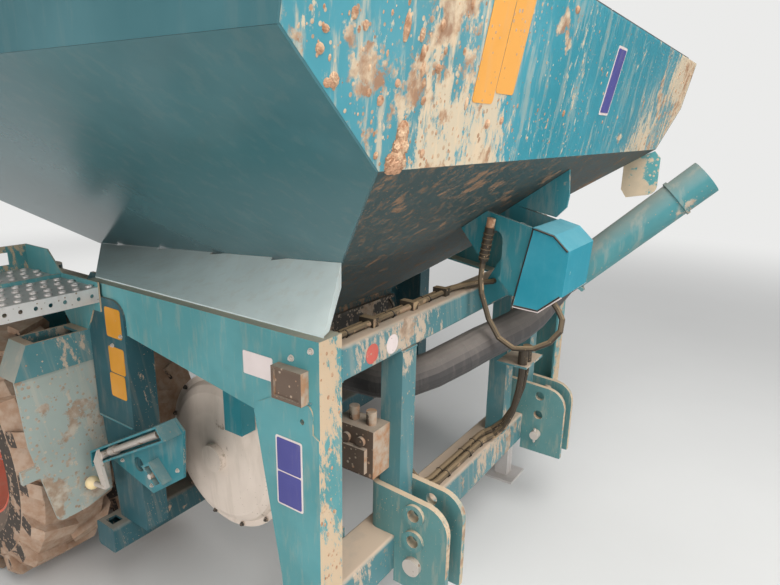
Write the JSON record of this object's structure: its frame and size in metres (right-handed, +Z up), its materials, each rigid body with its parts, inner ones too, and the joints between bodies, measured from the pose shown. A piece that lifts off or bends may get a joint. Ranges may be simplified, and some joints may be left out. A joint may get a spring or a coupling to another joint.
{
  "type": "front-mounted seed hopper with tyre packer",
  "caption": "Front-mounted seed drill hopper unit in teal sheet steel, with linkage clevises, blower, metering unit, delivery pipe and a steerable tyre packer.",
  "frame": {"origin": "centre of the bounding box, on the ground", "axes": "+X forward, away from the tractor, +Y to the machine's left, +Z up"},
  "size_m": [2.5246, 2.55, 1.9283],
  "materials": {
    "teal_paint": "semi-gloss",
    "teal_hopper": "gloss",
    "steel_bright": "worn",
    "galvanised": "dull",
    "cast_dark": "rough",
    "duct_grey": "dusty",
    "fan_beige": "dusty",
    "fan_alloy": "cast",
    "hose_rubber": "matt",
    "block_mud": "muddy",
    "lamp_box": "muddy",
    "tyre_rubber": "muddy",
    "rim_paint": "dusty",
    "lid_sheet": "matt"
  },
  "bodies": {
    "frame": {"hopper_ends": "teal_hopper", "hopper_rear": "teal_hopper", "hopper_front": "teal_hopper", "hopper_funnel": "teal_hopper", "hopper_rim": "teal_hopper", "hopper_supports": "teal_paint", "skirts": "teal_paint", "side_frame_left": "teal_paint", "side_frame_right": "teal_paint", "rear_frame": "teal_paint", "lower_cross_tube": "teal_paint", "clevis_left": "teal_paint", "clevis_right": "teal_paint", "link_pins": "steel_bright", "top_link_tower": "teal_paint", "tower_cover": "teal_hopper", "metering_unit": "cast_dark", "air_duct": "duct_grey", "delivery_pipe": "teal_paint", "fan_housing": "fan_beige", "fan_cone": "fan_beige", "fan_guard": "cast_dark", "fan_hanger": "teal_paint", "hydraulic_block": "block_mud", "hoses": "hose_rubber", "side_lamps": "lamp_box", "packer_beam": "teal_paint", "packer_arms": "teal_paint", "front_posts": "teal_paint", "mudguards": "teal_paint", "platform_frame": "teal_paint", "platform_treads": "galvanised", "crank_bracket": "teal_paint", "crank_spindle": "steel_bright"},
    "lid_left": {"lid_left": "lid_sheet"},
    "lid_right": {"lid_right": "lid_sheet"},
    "carriage_left": {"carriage_left": "teal_paint"},
    "carriage_right": {"carriage_right": "teal_paint"},
    "wheels_left": {"tyres_left": "tyre_rubber", "rims_left": "rim_paint"},
    "wheels_right": {"tyres_right": "tyre_rubber", "rims_right": "rim_paint"},
    "stand_left": {"stand_left": "galvanised"},
    "stand_right": {"stand_right": "galvanised"},
    "fan_rotor": {"fan_rotor": "fan_alloy"}
  },
  "joints": [
    {"name": "lid_left_hinge", "type": "hinge", "parent": "frame", "child": "lid_left", "pos_m": [0.98832, 0.625, 1.912], "axis": [0, 1, 0], "range_deg": [0, 95]},
    {"name": "lid_right_hinge", "type": "hinge", "parent": "frame", "child": "lid_right", "pos_m": [0.98832, -0.625, 1.912], "axis": [0, 1, 0], "range_deg": [0, 95]},
    {"name": "steer_left", "type": "hinge", "parent": "frame", "child": "carriage_left", "pos_m": [0.78232, 0.73, 1.04], "axis": [0, 0, 1], "range_deg": [-8, 8]},
    {"name": "wheels_left_spin", "type": "hinge", "parent": "carriage_left", "child": "wheels_left", "pos_m": [0.78232, 0.73, 0.48], "axis": [0, 1, 0], "continuous": true},
    {"name": "stand_left_slide", "type": "slide", "parent": "frame", "child": "stand_left", "axis": [0, 0, 1], "range_m": [0, 0.25]},
    {"name": "steer_right", "type": "hinge", "parent": "frame", "child": "carriage_right", "pos_m": [0.78232, -0.73, 1.04], "axis": [0, 0, 1], "range_deg": [-8, 8]},
    {"name": "wheels_right_spin", "type": "hinge", "parent": "carriage_right", "child": "wheels_right", "pos_m": [0.78232, -0.73, 0.48], "axis": [0, 1, 0], "continuous": true},
    {"name": "stand_right_slide", "type": "slide", "parent": "frame", "child": "stand_right", "axis": [0, 0, 1], "range_m": [0, 0.25]},
    {"name": "fan_spin", "type": "hinge", "parent": "frame", "child": "fan_rotor", "pos_m": [-0.04768, 0.48, 0.548], "axis": [0, 1, 0], "continuous": true}
  ]
}
